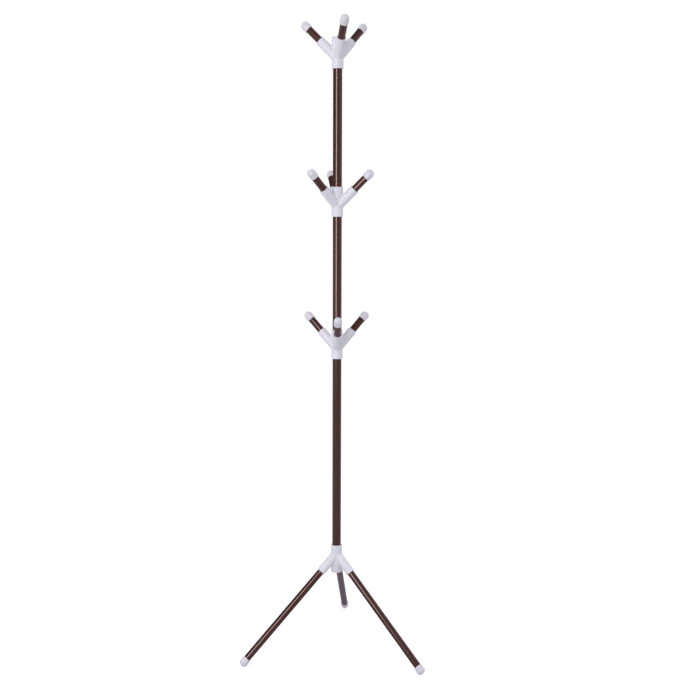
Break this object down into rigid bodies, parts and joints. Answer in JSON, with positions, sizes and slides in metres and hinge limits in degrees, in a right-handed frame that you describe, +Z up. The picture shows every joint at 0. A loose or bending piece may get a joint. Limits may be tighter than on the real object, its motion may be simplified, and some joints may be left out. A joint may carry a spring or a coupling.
{
  "type": "standing coat rack",
  "caption": "Free-standing coat rack: a tube pole on a splayed tripod, with moulded connectors that each hold a ring of upswept capped pegs.",
  "frame": {"origin": "floor level under the pole axis, midway between the three feet", "axes": "+Z up along the pole; +Y towards the rear leg; +X to the right seen from the front"},
  "size_m": [0.529, 0.4612, 1.8088],
  "materials": {
    "brown_tube": "glossy dark brown coating on thin steel tube",
    "white_connector": "satin moulded plastic, white with a faint cool tint",
    "white_cap": "satin moulded plastic, white with a faint cool tint"
  },
  "bodies": {
    "stand": {"base_hub": "white_connector", "leg_rear": "brown_tube", "leg_front_left": "brown_tube", "leg_front_right": "brown_tube", "foot_rear": "white_cap", "foot_front_left": "white_cap", "foot_front_right": "white_cap", "lower_pole": "brown_tube"},
    "lower_hooks": {"lower_hook_hub": "white_connector", "middle_pole": "brown_tube", "peg_lower_front": "brown_tube", "cap_lower_front": "white_cap", "peg_lower_rear_right": "brown_tube", "cap_lower_rear_right": "white_cap", "peg_lower_rear_left": "brown_tube", "cap_lower_rear_left": "white_cap"},
    "middle_hooks": {"middle_hook_hub": "white_connector", "upper_pole": "brown_tube", "peg_middle_right": "brown_tube", "cap_middle_right": "white_cap", "peg_middle_rear": "brown_tube", "cap_middle_rear": "white_cap", "peg_middle_front_left": "brown_tube", "cap_middle_front_left": "white_cap"},
    "top_hooks": {"top_hook_hub": "white_connector", "top_plug": "white_cap", "peg_top_front": "brown_tube", "cap_top_front": "white_cap", "peg_top_rear_right": "brown_tube", "cap_top_rear_right": "white_cap", "peg_top_left": "brown_tube", "cap_top_left": "white_cap"}
  },
  "joints": [
    {"name": "lower_hub_turn", "type": "hinge", "parent": "stand", "child": "lower_hooks", "pos_m": [0, 0, 0.87416], "axis": [0, 0, 1], "continuous": true},
    {"name": "middle_hub_turn", "type": "hinge", "parent": "lower_hooks", "child": "middle_hooks", "pos_m": [0, 0, 1.27666], "axis": [0, 0, 1], "continuous": true},
    {"name": "top_hub_turn", "type": "hinge", "parent": "middle_hooks", "child": "top_hooks", "pos_m": [0, 0, 1.67916], "axis": [0, 0, 1], "continuous": true}
  ]
}
